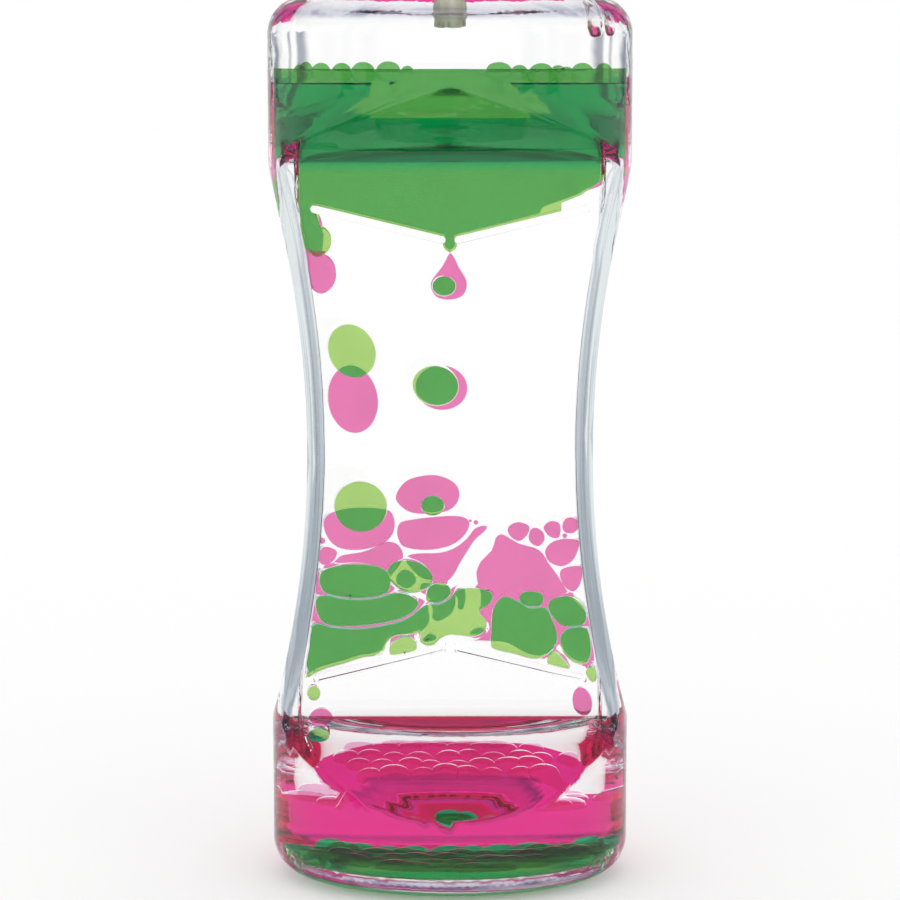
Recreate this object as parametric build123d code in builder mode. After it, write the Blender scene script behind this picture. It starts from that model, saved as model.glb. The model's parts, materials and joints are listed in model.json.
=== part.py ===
from build123d import *
from math import atan2, degrees, hypot, sqrt
import os

# A sealed tabletop liquid motion timer. Two clear half shells close on a divider plate, which parts
# the inside into a front cell with green liquid and a rear cell with pink liquid, both in clear oil.
# Millimetres, +Z up, front towards -Y. The origin is the middle of the foot it stands on.

# Outer form
overall_height = 150
overall_width = 61
overall_depth = 44
rim_radius = 6.5
waist_width = 47.8
waist_depth = 16.8
shoulder_height = 27.5  # straight sides of each end, before the waist's arc
scoop_height = 14.8  # rim to the scoop's crest, at the middle of the face
bend_height = 26.6  # rim to the line where the scoop turns into the flat waist panel
bend_radius = 6

# Walls
end_side_wall = 4.5
waist_side_wall = 3.0
face_wall = 2.0
end_wall = 4.0
inner_rim_radius = 3.5
overrun = 5  # cutting bodies pass the form by this

# Divider plate, held in a rebate all round
divider_thickness = 1.5
divider_ledge = 1.2

# Weld joint between the shells
weld_rib_inset = 0.55
weld_rib_width = 0.6
weld_rib_height = 0.6
weld_clearance = 0.05

# Ramps: two sloping ribs with a drip gap between them, alike at both ends
ramp_thickness = 1.3
spill_gap = 2.3  # between a ramp's outer end and the side wall
ramp_outer_height = 35.1
ramp_inner_height = 40.2
drip_gap = 1.5

# Fill plugs
plug_radius = 2.35
plug_barb_radius = 2.55
plug_barb_length = 1.0
plug_length = 5.8
plug_offset = 8.5

# Liquids
drop_clearance = 0.35  # between a falling drop and the walls of its cell
oil_clearance = 0.3  # between the oil and a falling drop
green_upper_oil = 8.0  # clear oil between the top wall and the pool on the funnel
pink_upper_oil = 10.6
green_lower_depth = 3.7  # pool on the floor
pink_lower_depth = 7.7

half_height = overall_height / 2
half_width = overall_width / 2
half_depth = overall_depth / 2
inner_top = overall_height - end_wall
panel_inside = waist_depth / 2 - face_wall
divider_half = divider_thickness / 2
cell_depth = panel_inside - divider_half
drop_thickness = cell_depth - 2 * drop_clearance
inner_end_half = half_width - end_side_wall
inner_end_depth = half_depth - face_wall
waist_inside = waist_width / 2 - waist_side_wall
cell_edge = inner_end_half * sqrt(1 - (panel_inside / inner_end_depth) ** 2)
reach = half_width + overrun  # well past the form on either side
oval_end_share = 0.85  # how round the ends of an oval are, next to an ellipse's

parts = {}


def keep(part, name):
    """Label a finished piece and remember it for export."""
    part.label = name
    parts[name] = part
    return part


def oval(wide, high):
    """An oval of four arcs that meet smoothly, with the half sizes of an ellipse."""
    long = max(wide, high)
    short = min(wide, high)
    end_radius = oval_end_share * short**2 / long
    end_centre = long - end_radius
    side_radius = (end_centre**2 + short**2 - end_radius**2) / (2 * (short - end_radius))
    past = end_radius / (side_radius - end_radius)
    meet = (end_centre * (1 + past), (side_radius - short) * past)
    points = [meet, (long, 0), (meet[0], -meet[1]), (0, -short)]
    points += [(-x, -y) for x, y in points]
    if high > wide:
        points = [(y, x) for x, y in points]
    with BuildSketch() as face:
        with BuildLine():
            for first in range(0, len(points), 2):
                ThreePointArc(points[first], points[first + 1], points[(first + 2) % len(points)])
        make_face()
    return face.sketch


def cell_plane(cell, depth, inset=0):
    """Plane from which an extrusion of this depth along its normal lies in a cell."""
    start = divider_half + inset
    if cell == "front":
        return Plane.XZ.offset(start)
    return Plane.XZ.offset(-start - depth)


def inner_half_width(height):
    """Half the inside width at a height, from the arc of the waist."""
    sagitta = half_width - waist_width / 2
    arc_half = half_height - shoulder_height
    radius = (arc_half**2 + sagitta**2) / (2 * sagitta) + waist_side_wall
    at_height = waist_inside + radius - sqrt(radius**2 - (height - half_height) ** 2)
    return min(at_height, inner_end_half)


ramp_tip = (drip_gap + ramp_thickness) / 2
ramp_reach = inner_half_width(ramp_outer_height) - spill_gap - ramp_thickness / 2
funnel_inner_height = overall_height - ramp_inner_height
fall = funnel_inner_height - ramp_inner_height
drip_half_height = ramp_thickness
drip_bottom = funnel_inner_height - ramp_thickness / 2 - drip_half_height


def front_outline():
    """The outer outline seen from the front: straight ends and a shallow waist."""
    with BuildSketch(Plane.XZ) as outline:
        with BuildLine():
            right = ThreePointArc(
                (half_width, shoulder_height),
                (waist_width / 2, half_height),
                (half_width, overall_height - shoulder_height),
            )
            left = mirror(right, about=Plane.YZ)
            Line(right @ 1, (half_width, overall_height))
            Line((half_width, overall_height), (-half_width, overall_height))
            Line((-half_width, overall_height), left @ 1)
            Line(left @ 0, (-half_width, 0))
            Line((-half_width, 0), (half_width, 0))
            Line((half_width, 0), right @ 0)
        make_face()
    return outline


def side_outline():
    """The outer outline seen from the side: full ends scooped down to a flat waist panel."""
    waist = waist_depth / 2
    corners = [
        (half_depth, 0),
        (half_depth, scoop_height),
        (waist, bend_height),
        (waist, overall_height - bend_height),
        (half_depth, overall_height - scoop_height),
        (half_depth, overall_height),
    ]
    mirrored = [(-y, z) for y, z in reversed(corners)]
    with BuildSketch(Plane.YZ) as outline:
        with BuildLine():
            Polyline(*corners, *mirrored, close=True)
        make_face()
        bends = [v for v in outline.vertices() if abs(abs(v.X) - waist) < face_wall]
        fillet(bends, radius=bend_radius)
    return outline


def hourglass(wide, deep, low, high, rim, front, side):
    """An oval block with rounded rims, cut to a front outline and a side outline."""
    with BuildPart() as form:
        with BuildSketch(Plane.XY.offset(low)):
            Ellipse(wide, deep)
        extrude(amount=high - low)
        levels = form.edges().group_by(Axis.Z)
        fillet(levels[0] + levels[-1], radius=rim)
        extrude(front, amount=half_depth + overrun, both=True, mode=Mode.INTERSECT)
        extrude(side, amount=half_width + overrun, both=True, mode=Mode.INTERSECT)
    return form.part


outer_front = front_outline()
outer_side = side_outline()

with BuildSketch(Plane.XZ) as inner_front:
    add(outer_front.sketch_local)
    offset(amount=-waist_side_wall, mode=Mode.REPLACE)
    with Locations((0, half_height)):
        Rectangle(2 * inner_end_half, overall_height, mode=Mode.INTERSECT)

with BuildSketch(Plane.YZ) as inner_side:
    add(outer_side.sketch_local)
    offset(amount=-face_wall, mode=Mode.REPLACE)

envelope = hourglass(
    half_width,
    half_depth,
    0,
    overall_height,
    rim_radius,
    outer_front.sketch,
    outer_side.sketch,
)
cavity = hourglass(
    inner_end_half,
    inner_end_depth,
    end_wall,
    inner_top,
    inner_rim_radius,
    inner_front.sketch,
    inner_side.sketch,
)

# Divider plate: the cavity's outline with a ledge that sits in the shells
with BuildPart() as divider:
    with BuildSketch(Plane.XZ) as plate:
        add(inner_front.sketch_local)
        with Locations((0, half_height)):
            Rectangle(2 * reach, overall_height - 2 * end_wall, mode=Mode.INTERSECT)
        corners = plate.vertices().group_by(Axis.Y)
        fillet(corners[0] + corners[-1], radius=inner_rim_radius)
        offset(amount=divider_ledge, mode=Mode.REPLACE)
    extrude(amount=divider_half, both=True)
keep(divider.part, "divider_plate")


def plug_centre(cell):
    return (0, -plug_offset if cell == "front" else plug_offset)


def fill_plug(cell):
    """A tapered stopper pressed into the top wall, with a barb under it."""
    with BuildPart() as plug:
        with BuildSketch(Plane.XY.offset(inner_top)):
            with Locations(plug_centre(cell)):
                Circle(plug_radius)
        extrude(amount=end_wall)
        with BuildSketch(Plane.XY.offset(inner_top)):
            with Locations(plug_centre(cell)):
                Circle(plug_barb_radius)
        extrude(amount=-plug_barb_length)
        with BuildSketch(Plane.XY.offset(inner_top - plug_barb_length)):
            with Locations(plug_centre(cell)):
                Circle(plug_radius)
        extrude(amount=-(plug_length - end_wall - plug_barb_length))
    return plug.part


def weld_ring(inset, width, height):
    """A ring that follows the seam a little inside the outer outline."""
    with BuildPart() as ring:
        with BuildSketch(Plane.XZ) as band:
            add(outer_front.sketch_local)
            ends = band.vertices().group_by(Axis.Y)
            fillet(ends[0] + ends[-1], radius=rim_radius)
            offset(amount=-inset, mode=Mode.REPLACE)
            offset(amount=-width, kind=Kind.INTERSECTION, mode=Mode.SUBTRACT)
        extrude(amount=height)
    return ring.part


def half_shell(cell):
    """One clear half: the form less the cavity, the divider's rebate and the fill hole."""
    keep_side = Keep.TOP if cell == "front" else Keep.BOTTOM
    with BuildPart() as shell:
        add(envelope)
        add(cavity, mode=Mode.SUBTRACT)
        add(divider.part, mode=Mode.SUBTRACT)
        split(bisect_by=Plane.XZ, keep=keep_side)
        with BuildSketch(Plane.XY.offset(overall_height)):
            with Locations(plug_centre(cell)):
                Circle(plug_radius)
        extrude(amount=-end_wall, mode=Mode.SUBTRACT)
    return shell.part


with BuildPart() as front_shell:
    add(half_shell("front"))
    add(
        weld_ring(
            weld_rib_inset - weld_clearance,
            weld_rib_width + 2 * weld_clearance,
            weld_rib_height + weld_clearance,
        ),
        mode=Mode.SUBTRACT,
    )
keep(front_shell.part, "front_shell")

with BuildPart() as rear_shell:
    add(half_shell("rear"))
    add(weld_ring(weld_rib_inset, weld_rib_width, weld_rib_height))
keep(rear_shell.part, "rear_shell")


def ramp_pair(cell, upper):
    """Two ribs across the cell's depth that slope to a drip gap in the middle."""
    run = ramp_reach - ramp_tip
    rise = ramp_inner_height - ramp_outer_height
    middle = (ramp_reach + ramp_tip) / 2
    level = (ramp_inner_height + ramp_outer_height) / 2
    angle = degrees(atan2(rise, run))
    if upper:
        level, angle = overall_height - level, -angle
    with BuildPart() as ramps:
        with BuildSketch(cell_plane(cell, cell_depth)):
            with Locations((middle, level)):
                SlotCenterToCenter(hypot(run, rise), ramp_thickness, rotation=-angle)
            with Locations((-middle, level)):
                SlotCenterToCenter(hypot(run, rise), ramp_thickness, rotation=angle)
        extrude(amount=cell_depth)
    return ramps.part


ramps = {}
plugs = {}
for cell in ("front", "rear"):
    plugs[cell] = keep(fill_plug(cell), f"{cell}_fill_plug")
    for place in ("upper", "lower"):
        ramps[cell, place] = keep(ramp_pair(cell, place == "upper"), f"{cell}_{place}_ramps")


def ramp_line(x, upper):
    """Height of the ramps' centre line at x."""
    slope = (ramp_inner_height - ramp_outer_height) / (ramp_reach - ramp_tip)
    height = ramp_inner_height - slope * (abs(x) - ramp_tip)
    return overall_height - height if upper else height


# Still liquid is drawn as seen from the front. A place is a share of the ramps' reach across and a
# share of the fall above the ramps' centre line. A blob adds its half width and half height.


def on_ramps(place_share, upper):
    """The X and Z of a place above or below the ramps."""
    across_share, above_share = place_share
    x = across_share * ramp_reach
    return (x, ramp_line(x, upper) + above_share * fall)


def cell_half(cell):
    """The clear space of one cell, from the divider to the outer walls."""
    with BuildPart() as half:
        add(cavity)
        with BuildSketch(cell_plane(cell, half_depth)):
            with Locations((0, half_height)):
                Rectangle(2 * reach, overall_height)
        extrude(amount=half_depth, mode=Mode.INTERSECT)
    return half.part


space = {cell: cell_half(cell) for cell in ("front", "rear")}


def still_liquid(cell, upper, outlines, blob_shares, drip=0):
    """Liquid at rest: outlines, blobs and a drip through the whole cell, less the ramps in it."""
    with BuildPart() as liquid:
        with BuildSketch(Plane.XZ):
            for outline in outlines:
                with BuildLine():
                    Polyline(*outline, close=True)
                make_face()
            for across, above, wide, high in blob_shares:
                with Locations(on_ramps((across, above), upper)):
                    add(oval(wide * ramp_reach, high * fall))
            if drip:
                with Locations((0, drip_bottom + drip_half_height)):
                    add(oval(drip * drip_gap, drip_half_height))
        extrude(amount=half_depth + overrun, both=True)
        add(space[cell], mode=Mode.INTERSECT)
        add(ramps[cell, "upper" if upper else "lower"], mode=Mode.SUBTRACT)
    return liquid.part


spill_corner_share = (-1.12, -0.05)  # where a pool turns down beside the left wall


def upper_pool(cell, oil_above, edge_shares, blob_shares, drip_share):
    """The pool above the funnel: level on top, ramps below, with its spill and its drip."""
    level = inner_top - oil_above
    last_share = edge_shares[-1][0]
    outline = [
        (-reach, level),
        (reach, level),
        *[on_ramps(edge_share, True) for edge_share in edge_shares],
        on_ramps((last_share, 0), True),
        (ramp_tip, funnel_inner_height),
        (-ramp_tip, funnel_inner_height),
        on_ramps((-1, 0), True),
        on_ramps(spill_corner_share, True),
        (-reach, ramp_line(ramp_reach, True)),
    ]
    return still_liquid(cell, True, [outline], blob_shares, drip_share)


def roof_heap(cell, sheet_shares, blob_shares):
    """Liquid that has piled up on the lower ramps."""
    sheets = [[on_ramps(point, False) for point in sheet] for sheet in sheet_shares]
    return still_liquid(cell, False, sheets, blob_shares)


def lower_pool(cell, depth):
    """The pool on the floor of a cell."""
    with BuildPart() as pool:
        add(space[cell])
        with BuildSketch(Plane.XY):
            Rectangle(2 * reach, 2 * reach)
        extrude(amount=end_wall + depth, mode=Mode.INTERSECT)
    return pool.part


# Front cell, green. The pool stands back from the right wall and spills over the left ramp's end.
green_edge_shares = [(1.3, 0.063), (1.155, 0.064), (0.965, 0.037), (0.82, 0.029)]
green_spill_shares = [
    (-0.975, -0.075, 0.1, 0.036),
    (-1.08, -0.036, 0.115, 0.063),
]
green_drip_share = 0.8  # half width of the drip in the gap, as a share of the gap
green_heap_shares = [
    (-0.71, 0.219, 0.27, 0.042),
    (-0.3, 0.2, 0.175, 0.039),
    (-0.085, 0.143, 0.1, 0.026),
    (0.25, 0.148, 0.1, 0.023),
    (0.535, 0.092, 0.25, 0.078),
    (0.615, 0.175, 0.1, 0.02),
    (0.86, 0.154, 0.13, 0.042),
    (0.92, 0.084, 0.125, 0.039),
    (-1.08, 0.018, 0.04, 0.015),
    (1.08, 0.022, 0.04, 0.025),
]
green_left_sheet_shares = [
    (-1.08, 0.019),
    (-1.03, 0.16),
    (-0.45, 0.198),
    (-0.155, 0.17),
    (0.33, 0.165),
    (0.205, 0.106),
    (0.23, 0.048),
    (0.027, 0.026),
    (-0.265, 0.033),
    (-0.38, 0),
    (-1, 0),
]
green_right_sheet_shares = [
    (0.5, 0.03),
    (0.55, 0.16),
    (0.88, 0.16),
    (0.98, 0.08),
    (0.85, 0.03),
]

# Rear cell, pink
pink_edge_shares = [(1.3, 0.04), (1.135, 0.043), (0.69, 0.026), (0.665, 0.016)]
pink_spill_shares = [
    (-0.945, -0.157, 0.11, 0.046),
    (-1.05, -0.08, 0.115, 0.086),
]
pink_drip_share = 0.7
pink_heap_shares = [
    (-0.67, 0.335, 0.25, 0.056),
    (-0.125, 0.279, 0.275, 0.045),
    (-0.165, 0.377, 0.23, 0.047),
    (-0.845, 0.279, 0.07, 0.023),
    (0.5, 0.315, 0.085, 0.025),
    (0.64, 0.31, 0.067, 0.025),
    (0.76, 0.339, 0.07, 0.021),
    (0.86, 0.355, 0.058, 0.02),
    (0.81, 0.284, 0.12, 0.036),
    (0.855, 0.224, 0.085, 0.032),
]
pink_left_sheet_shares = [
    (-1.06, 0.023),
    (-0.985, 0.23),
    (-0.805, 0.276),
    (-0.535, 0.272),
    (-0.35, 0.252),
    (0.01, 0.223),
    (0.15, 0.28),
    (0.275, 0.307),
    (0.16, 0.255),
    (0.04, 0.182),
    (0.107, 0.118),
    (0.15, 0.047),
    (0.027, 0.02),
    (-0.027, 0.017),
    (-0.38, 0),
    (-1, 0),
]
pink_right_sheet_shares = [
    (0.365, 0.291),
    (0.24, 0.2),
    (0.22, 0.13),
    (0.25, 0),
    (1, 0),
    (1.04, 0.052),
    (0.97, 0.17),
    (0.86, 0.25),
    (0.71, 0.285),
    (0.56, 0.28),
]

green_upper = upper_pool(
    "front", green_upper_oil, green_edge_shares, green_spill_shares, green_drip_share
)
pink_upper = upper_pool(
    "rear", pink_upper_oil, pink_edge_shares, pink_spill_shares, pink_drip_share
)
green_sheets = [green_left_sheet_shares, green_right_sheet_shares]
pink_sheets = [pink_left_sheet_shares, pink_right_sheet_shares]
green_heap = roof_heap("front", green_sheets, green_heap_shares)
pink_heap = roof_heap("rear", pink_sheets, pink_heap_shares)
keep(green_upper, "green_upper_pool")
keep(pink_upper, "pink_upper_pool")
keep(green_heap, "green_roof_heap")
keep(pink_heap, "pink_roof_heap")
keep(lower_pool("front", green_lower_depth), "green_lower_pool")
keep(lower_pool("rear", pink_lower_depth), "pink_lower_pool")

# Falling drops, squeezed flat between the divider and the panel. Shares of the waist's inside half
# width across, and of the fall above the lower drip gap: place across, place up, half width, half height.
falling_shares = {
    "green_centre_drop_1": ("front", -0.048, 0.889, 0.096, 0.0245),
    "green_centre_drop_2": ("front", -0.115, 0.65, 0.187, 0.049),
    "green_centre_drop_3": ("front", -0.139, 0.356, 0.096, 0.0245),
    "green_left_drop_1": ("front", -0.785, 0.736, 0.187, 0.0675),
    "green_left_drop_2": ("front", -0.713, 0.356, 0.215, 0.063),
    "pink_centre_drop_2": ("rear", -0.067, 0.637, 0.21, 0.056),
    "pink_left_drop": ("rear", -0.77, 0.612, 0.2, 0.085),
}
# Drops that sink along a side wall under the lower ramps: side, share of the ramps' outer height up,
# half width as a share of the waist's inside half width, half height as a share of the fall.
sinking_shares = {
    "green_spill_drop": ("front", -1, 0.932, 0.057, 0.019),
    "green_sinking_drop": ("front", -1, 0.7, 0.091, 0.023),
    "pink_roof_drop": ("rear", 1, 0.866, 0.081, 0.037),
    "pink_sinking_drop": ("rear", -1, 0.766, 0.105, 0.03),
}
# The drop that has just let go of the rear funnel: a round bulb under a narrow top
tear_bulb_shares = (-0.014, 0.894, 0.153, 0.0445)
tear_top_half_share = 0.029
drop_edge_share = 0.35  # chamfer round a drop, as a share of its smaller half size


def in_fall(place_shares):
    """The X, Z, half width and half height of a drop between the two pairs of ramps."""
    across, up, wide, high = place_shares
    return (across * waist_inside, ramp_inner_height + up * fall, wide * waist_inside, high * fall)


def beside_wall(place_shares):
    """The X, Z, half width and half height of a drop that sinks along a side wall."""
    side, up, wide, high = place_shares
    half = wide * waist_inside
    return (side * (cell_edge - drop_clearance - half), up * ramp_outer_height, half, high * fall)


def oval_face(plane, place, grow=0):
    """The outline of a drop, grown by a margin."""
    x, z, wide, high = place
    with BuildSketch(plane) as face:
        with Locations((x, z)):
            add(oval(wide + grow, high + grow))
    return face.sketch


def tear_face(plane, place, grow=0):
    """The outline of a drop drawn out to a narrow top, grown by a margin."""
    x, z, wide, high = place
    top = drip_bottom - drop_clearance + grow
    top_half = tear_top_half_share * waist_inside + grow
    with BuildSketch(plane) as face:
        with Locations((x, z)):
            Ellipse(wide + grow, high + grow)
        with BuildLine():
            shoulder = wide + grow
            Polyline((x - shoulder, z), (-top_half, top), (top_half, top), (x + shoulder, z), close=True)
        make_face()
    return face.sketch


drops = {name: (cell, oval_face, in_fall(place)) for name, (cell, *place) in falling_shares.items()}
for name, (cell, *place) in sinking_shares.items():
    drops[name] = (cell, oval_face, beside_wall(place))
drops["pink_centre_drop_1"] = ("rear", tear_face, in_fall(tear_bulb_shares))

pockets = {"front": [], "rear": []}
for name, (cell, face, place) in drops.items():
    narrowest = tear_top_half_share * waist_inside if face is tear_face else min(place[2:])
    with BuildPart() as drop:
        extrude(face(cell_plane(cell, drop_thickness, drop_clearance), place), amount=drop_thickness)
        chamfer(drop.faces().filter_by(Axis.Y).edges(), length=drop_edge_share * narrowest)
    keep(drop.part, name)
    pockets[cell].append(face(cell_plane(cell, half_depth), place, oil_clearance))

# Air caught under the top wall of the front cell. Shares of the inside half width across, and of the
# inside rim's radius down from the wall: place across, place down, radius.
air_shares = [(0.808, 0.457, 0.371), (0.9, 0.514, 0.257)]
air_depth = drop_clearance + air_shares[0][2] * inner_rim_radius
air_plane = cell_plane("front", 0, air_depth)
with BuildPart() as bubbles:
    for across, down, size in air_shares:
        place = (across * inner_end_half, inner_top - down * inner_rim_radius)
        with Locations(air_plane.from_local_coords(place)):
            Sphere(size * inner_rim_radius)
keep(bubbles.part, "trapped_air_bubbles")

# Clear oil fills what is left of each cell
for cell, colour in (("front", "green"), ("rear", "pink")):
    with BuildPart() as oil:
        add(space[cell])
        for taken in (
            ramps[cell, "upper"],
            ramps[cell, "lower"],
            plugs[cell],
            parts[f"{colour}_upper_pool"],
            parts[f"{colour}_lower_pool"],
            parts[f"{colour}_roof_heap"],
        ):
            add(taken, mode=Mode.SUBTRACT)
        if cell == "front":
            add(bubbles.part, mode=Mode.SUBTRACT)
        for pocket in pockets[cell]:
            extrude(pocket, amount=half_depth, mode=Mode.SUBTRACT)
    keep(oil.part, f"{cell}_oil")

os.makedirs("parts", exist_ok=True)
for name, part in parts.items():
    export_step(part, f"parts/{name}.step")
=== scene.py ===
import json
import math
import random

import bmesh
import bpy
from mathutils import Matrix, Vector
from mathutils.bvhtree import BVHTree
from mathutils.geometry import intersect_point_line

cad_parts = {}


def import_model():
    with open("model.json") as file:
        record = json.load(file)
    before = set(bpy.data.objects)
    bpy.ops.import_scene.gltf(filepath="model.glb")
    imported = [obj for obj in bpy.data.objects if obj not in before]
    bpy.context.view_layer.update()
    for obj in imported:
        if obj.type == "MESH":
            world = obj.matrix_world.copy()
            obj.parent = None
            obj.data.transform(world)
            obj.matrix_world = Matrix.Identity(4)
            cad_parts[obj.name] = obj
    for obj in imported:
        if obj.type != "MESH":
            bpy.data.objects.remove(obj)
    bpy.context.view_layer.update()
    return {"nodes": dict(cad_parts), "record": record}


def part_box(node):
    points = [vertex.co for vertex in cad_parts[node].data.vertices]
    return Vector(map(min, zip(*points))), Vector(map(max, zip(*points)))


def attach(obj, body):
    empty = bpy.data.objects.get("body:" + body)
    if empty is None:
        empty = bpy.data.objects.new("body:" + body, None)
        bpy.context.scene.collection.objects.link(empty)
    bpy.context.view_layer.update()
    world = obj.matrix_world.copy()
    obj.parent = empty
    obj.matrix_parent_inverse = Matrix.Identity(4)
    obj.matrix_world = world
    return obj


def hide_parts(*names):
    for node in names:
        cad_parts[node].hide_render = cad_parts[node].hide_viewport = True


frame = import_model()
nodes = frame["nodes"]
bodies = {}
for body, members in frame["record"]["behaviour"]["bodies"].items():
    for member in members:
        bodies[member] = body

# Places are in millimetres in this script, and become metres when a mesh is made.
MM = 0.001

# Metres. The camera stands level with the top face and looks down at the middle of the timer.
CAMERA_PLACE = (0, -0.5148, 0.14965)
CAMERA_PITCH = 0.14687
FOCAL_SHARE = 3059 / 900  # focal length over the frame's width
SENSOR = 36  # millimetres
FLOOR_HALF = 3

BOUNCES = 64
GLOSSY_BOUNCES = 8

SHELLS = ("front_shell", "rear_shell")
OILS = ("front_oil", "rear_oil")
INNER_SLOT = 1
SEAM_SLOT = 2
# Metres
TOUCHING = 0.00007  # a face as near as this to another piece lies against it
WELD = 0.000002
SKIN = 0.000004  # every CAD piece is drawn in by this, so that no two faces lie in one place
ROUNDING = 0.0004  # of the moulding's sharp edges, in shading only

# Edges sharper than these, in degrees, stay sharp
HARD_ANGLE = 25
POOL_ANGLE = 30
BUBBLE_ANGLE = 40
BLOB_ANGLE = 60

PLASTIC_IOR = 1.5
WALL_IOR = 1.035  # plastic next to oil
LIQUID_IOR = 0.965  # coloured liquid next to oil
AIR_IOR = 0.68
CLEAR_SHADOW = (0.97, 0.97, 0.97)

# Painted shade of the thick walls: greys and streaks that stand in for darker surroundings bent through
# the plastic
WALL_SHADE_GREY = (0.87, 0.9, 0.91)
WALL_SHADE_STREAK = (0.58, 0.62, 0.66)
END_SHADE_GREY = (0.68, 0.67, 0.77)
END_SHADE_STREAK = (0.38, 0.36, 0.52)
BEIGE = (0.72, 0.66, 0.5)
PALE_BEIGE = (0.9, 0.86, 0.76)
# Noise features per metre along each axis, and the noise values between which a streak or cloud fades
SIDE_SHADE_STREAKS = (1100, 60, 12)
SIDE_SHADE_STREAK_FADE = (0.42, 0.6)
END_SHADE_STREAKS = (30, 500, 500)
END_SHADE_STREAK_FADE = (0.45, 0.65)
DYE_CLOUDS = (90, 90, 90)
DYE_CLOUD_FADE = (0.3, 0.7)
RUBBER_CLOUDS = (500, 500, 1200)
RUBBER_CLOUD_FADE = (0.35, 0.65)
CLOUD = 0.93  # a tint's share in its darker clouds
ACROSS_A_WALL = (0.95, 0.5)  # the normal's part across a wall where its grey begins and where it is full
# Metres, for the painted shade and its streaks in the walls
HALF_HEIGHT = 0.075
WAIST_HALF = 0.0239
WAIST_BOW = 0.0066
WAIST_REACH = 0.0475
SIDE_WALL = 0.0032
END_WALL = 0.004
SIDE_FULL = 0.85  # a wall's grey is full up to this share of its thickness, from outside
END_FULL = 0.7

LIME = (0.402, 0.658, 0.171)
CLEAR_GREEN = (0.85, 0.97, 0.8)
BALL_GREEN = (0.13, 0.46, 0.1)
DOME_GREEN = (0.3, 0.5, 0.14)
DOME_PINK = (0.93, 0.5, 0.72)
DEEP_GREEN = (0.076, 0.352, 0.065)
ROSE = (0.807, 0.188, 0.456)
MAGENTA = (0.84, 0.02, 0.285)
ROSE_THROUGH_GREEN = (0.2, 0.571, 0.41)
MAGENTA_THROUGH_GREEN = (0.02, 0.8, 0.94)
# Metres: the heights between which the upper pools go from thin to deep, and the balls on them from
# clear, inside the pool, to green
POOL_HEIGHTS = (0.1205, 0.1245)
BALL_HEIGHTS = (0.1379, 0.1381)
# A face turned further from square on than this counts as an edge: green liquid bends light there, and
# both colours can be pale there, a painted highlight along the rims. Two is never reached, so such a
# piece has no edges.
BLOB_EDGE = 0.4
BALL_EDGE = 0.7
PINK_DOME_EDGE = 0.72
GREEN_DOME_EDGE = 0.85
NO_EDGE = 2

# The studio's grey strips stand a third to two thirds of the way between its sides: the limits are
# cosines of four times the angle, so that a view from a side or a corner looks straight at white.
STRIP_EDGE = (-0.6, -0.85)
CORNER_EDGE = (-0.93, -0.995)
STRIP_GREY = (0.3, 0.32, 0.38)
CEILING_RISE = (0.3, 0.8)  # between these heights on the unit sphere white turns to the ceiling's grey
CEILING_GREY = (0.62, 0.62, 0.7)

# Millimetres: the inner side walls of the waist, the tops of the lower ramps and the ends' inner oval
MIDDLE = 75
WALL_CENTRE = 198.1
WALL_RADIUS = 177.2
RAMP_REACH = 22.6
RAMP_TOP = 41.25
RAMP_SLOPE = 0.2455
CELL_HALF_WIDTH = 26
CELL_DEPTH = 20
DIVIDER_FACE = 0.75
CLEAR = 0.04  # between a liquid piece and the walls

AROUND = 64  # points round a blob of liquid
RIM = 0.45
RIM_STEPS = 3
RIM_LEAD = 1.25  # the flat face's first ring lies this many rims in
FOLDED = 0.93  # an inset point nearer than this share of its inset to the outline has folded over
DOT_RIM = 0.4  # a small drop's rim as a share of its radius
DOT_FILM = 1  # the oil before and behind a small drop

GREEN_LEVEL = 5.4  # of the merged liquid under the drops that lie on it
LEVEL_FACE = 0.99  # a face whose normal points up at least this much is a pool's top
SEED = 4
DOME_AROUND = 20
DOME_RINGS = (0.3, 0.55, 0.75, 0.9, 1)
DOME_GAP = 4.2
DOME_ROWS = 0.87  # the step between rows as a share of the gap
DOME_SHIFT = 0.6
DOME_RADII = (0.5, 0.78)  # shares of the gap
DOME_HEIGHTS = (0.5, 0.72)  # shares of the radius
DOME_WITHIN = 0.97  # of the pool's oval, for a dome's centre
RIM_WITHIN = 0.995  # of the pool's oval, for a dome's rim
DOME_FILM = 0.02
LEAST_REACH = 0.3
REACH_STEP = 0.05
REACH_END = 0.1
PILE_REACH = 16  # from the middle, where domes have their full height again
GREEN_MIDDLE = 0.75  # height of the green domes in the middle
BALL_DEPTH = 0.9  # a ball's depth as a share of its width
BALL_SEGMENTS = 32
BALL_RINGS = 18

# How far each falling drop leans, in degrees, and how much fuller its lower end is
DROP_SHAPES = {
    "green_centre_drop_1": (0, 0),
    "green_centre_drop_2": (-12, 0.03),
    "green_centre_drop_3": (0, 0),
    "green_left_drop_1": (25, 0.05),
    "green_left_drop_2": (-20, 0.04),
    "green_spill_drop": (0, 0),
    "green_sinking_drop": (0, 0),
    "pink_centre_drop_2": (-8, 0.03),
    "pink_left_drop": (8, 0.06),
    "pink_roof_drop": (15, 0.1),
    "pink_sinking_drop": (0, 0),
}

TEAR = "pink_centre_drop_1"
TEAR_POINTS = [
    (0, 107.3),
    (-1.5, 104.9),
    (-3.25, 102.2),
    (-2.4, 99.9),
    (0, 99.3),
    (2.2, 100.1),
    (2.85, 102.4),
    (1.45, 105),
]

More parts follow.
